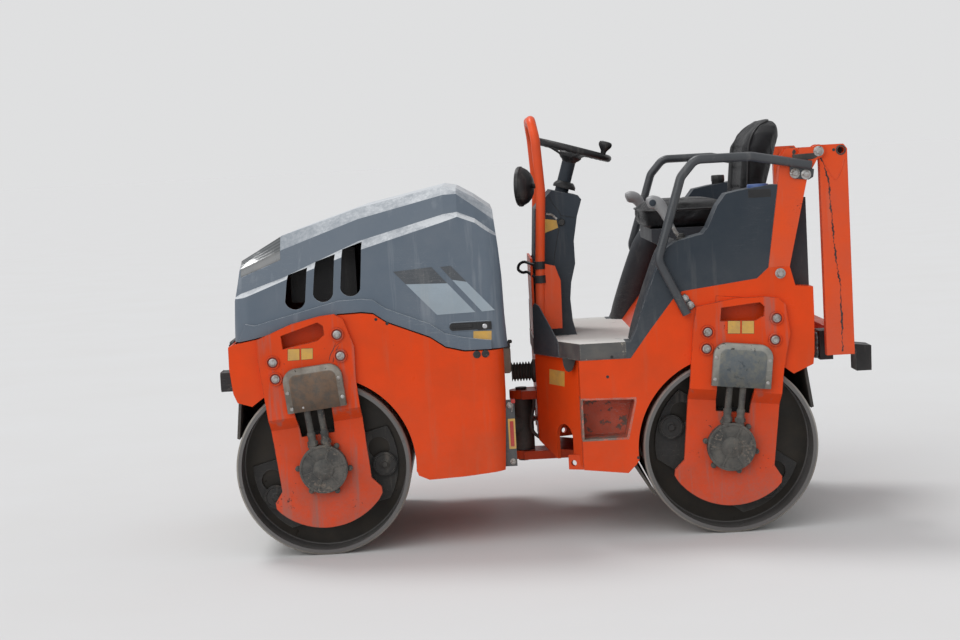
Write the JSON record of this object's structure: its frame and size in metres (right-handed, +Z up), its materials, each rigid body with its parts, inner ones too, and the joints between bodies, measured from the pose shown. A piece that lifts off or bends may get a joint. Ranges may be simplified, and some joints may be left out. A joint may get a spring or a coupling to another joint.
{
  "type": "tandem road roller",
  "caption": "Ride-on tandem road roller with smooth steel drums, bodies that bend and rock at the middle, a tilting engine hood, an open platform and a folded roll-over frame.",
  "frame": {"origin": "on the ground, under the middle of the machine's length and width", "axes": "+X points forward, +Y to the operator's left and +Z up"},
  "size_m": [2.182, 1.092, 1.42],
  "materials": {
    "orange_paint": "worn gloss",
    "hood_paint": "satin",
    "deck_paint": "worn satin",
    "console_plastic": "matte",
    "tank_plastic": "matte",
    "seat_vinyl": "satin",
    "rail_paint": "satin",
    "black_plastic": "matte",
    "lens": "clear",
    "hub_iron": "dusty",
    "shield_steel": "worn",
    "black_steel": "dusty",
    "rod_chrome": "polished",
    "engine_iron": "matte",
    "drum_steel": "worn",
    "carrier_steel": "dusty"
  },
  "bodies": {
    "rear_body": {"rear_frame": "orange_paint", "rear_arch": "orange_paint", "deck_bearer": "orange_paint", "rear_slope": "orange_paint", "rear_tail": "orange_paint", "rear_sides": "orange_paint", "step_pockets": "orange_paint", "platform": "deck_paint", "bulkhead": "orange_paint", "front_hoop": "orange_paint", "steering_console": "console_plastic", "splash_guards": "console_plastic", "side_consoles": "console_plastic", "rear_tank": "tank_plastic", "seat_base": "console_plastic", "seat_cushion": "seat_vinyl", "seat_back": "seat_vinyl", "side_rails": "rail_paint", "rops_posts": "orange_paint", "travel_levers": "black_plastic", "work_lamp": "black_plastic", "rear_legs": "orange_paint", "rear_hub_motors": "hub_iron", "rear_shields": "shield_steel", "rear_scrapers": "black_steel"},
    "joint_yoke": {"yoke": "black_steel"},
    "front_body": {"front_frame": "orange_paint", "front_legs": "orange_paint", "front_hub_motors": "hub_iron", "front_shields": "shield_steel", "front_scraper": "black_steel", "engine": "engine_iron", "lock_bar": "rail_paint", "nose_lamps": "black_plastic"},
    "front_roller": {"front_drum": "drum_steel", "front_drum_carriers": "carrier_steel"},
    "rear_roller": {"rear_drum": "drum_steel", "rear_drum_carriers": "carrier_steel"},
    "engine_hood": {"hood": "hood_paint", "headlights": "lens"},
    "folding_frame": {"rops_frame": "orange_paint", "rops_lamps": "black_plastic"},
    "hand_wheel": {"steering_wheel": "black_plastic"},
    "steering_barrel": {"cylinder_barrel": "black_steel"},
    "steering_rod": {"cylinder_rod": "rod_chrome"}
  },
  "joints": [
    {"name": "steer", "type": "hinge", "parent": "rear_body", "child": "joint_yoke", "pos_m": [0.091, 0, 0.335], "axis": [0, 0, 1], "range_deg": [-25, 25]},
    {"name": "rock", "type": "hinge", "parent": "joint_yoke", "child": "front_body", "pos_m": [0.151, 0, 0.335], "axis": [1, 0, 0], "range_deg": [-8, 8]},
    {"name": "front_roll", "type": "hinge", "parent": "front_body", "child": "front_roller", "pos_m": [0.766, 0, 0.29], "axis": [0, 1, 0], "continuous": true},
    {"name": "rear_roll", "type": "hinge", "parent": "rear_body", "child": "rear_roller", "pos_m": [-0.584, 0, 0.29], "axis": [0, 1, 0], "continuous": true},
    {"name": "hood_open", "type": "hinge", "parent": "front_body", "child": "engine_hood", "pos_m": [1.048, 0, 0.726], "axis": [0, 1, 0], "range_deg": [0, 60]},
    {"name": "frame_raise", "type": "hinge", "parent": "rear_body", "child": "folding_frame", "pos_m": [-0.91, 0, 1.247], "axis": [0, 1, 0], "range_deg": [0, 180]},
    {"name": "wheel_turn", "type": "hinge", "parent": "rear_body", "child": "hand_wheel", "pos_m": [-0.133, 0, 1.296], "axis": [-0.2924, 0, 0.9563], "range_deg": [-255, 255]},
    {"name": "barrel_swing", "type": "hinge", "parent": "rear_body", "child": "steering_barrel", "pos_m": [-0.149, -0.06, 0.335], "axis": [0, 0, 1], "range_deg": [-3.2, 3.2]},
    {"name": "rod_slide", "type": "slide", "parent": "steering_barrel", "child": "steering_rod", "axis": [0.96, -0.28, 0], "range_m": [-0.0545, 0.0545]}
  ],
  "couplings": [
    {"joint": "wheel_turn", "follows": "steer", "ratio": 10},
    {"joint": "barrel_swing", "follows": "steer", "ratio": 0.125},
    {"joint": "rod_slide", "follows": "steer", "m_per_rad": 0.1222}
  ]
}
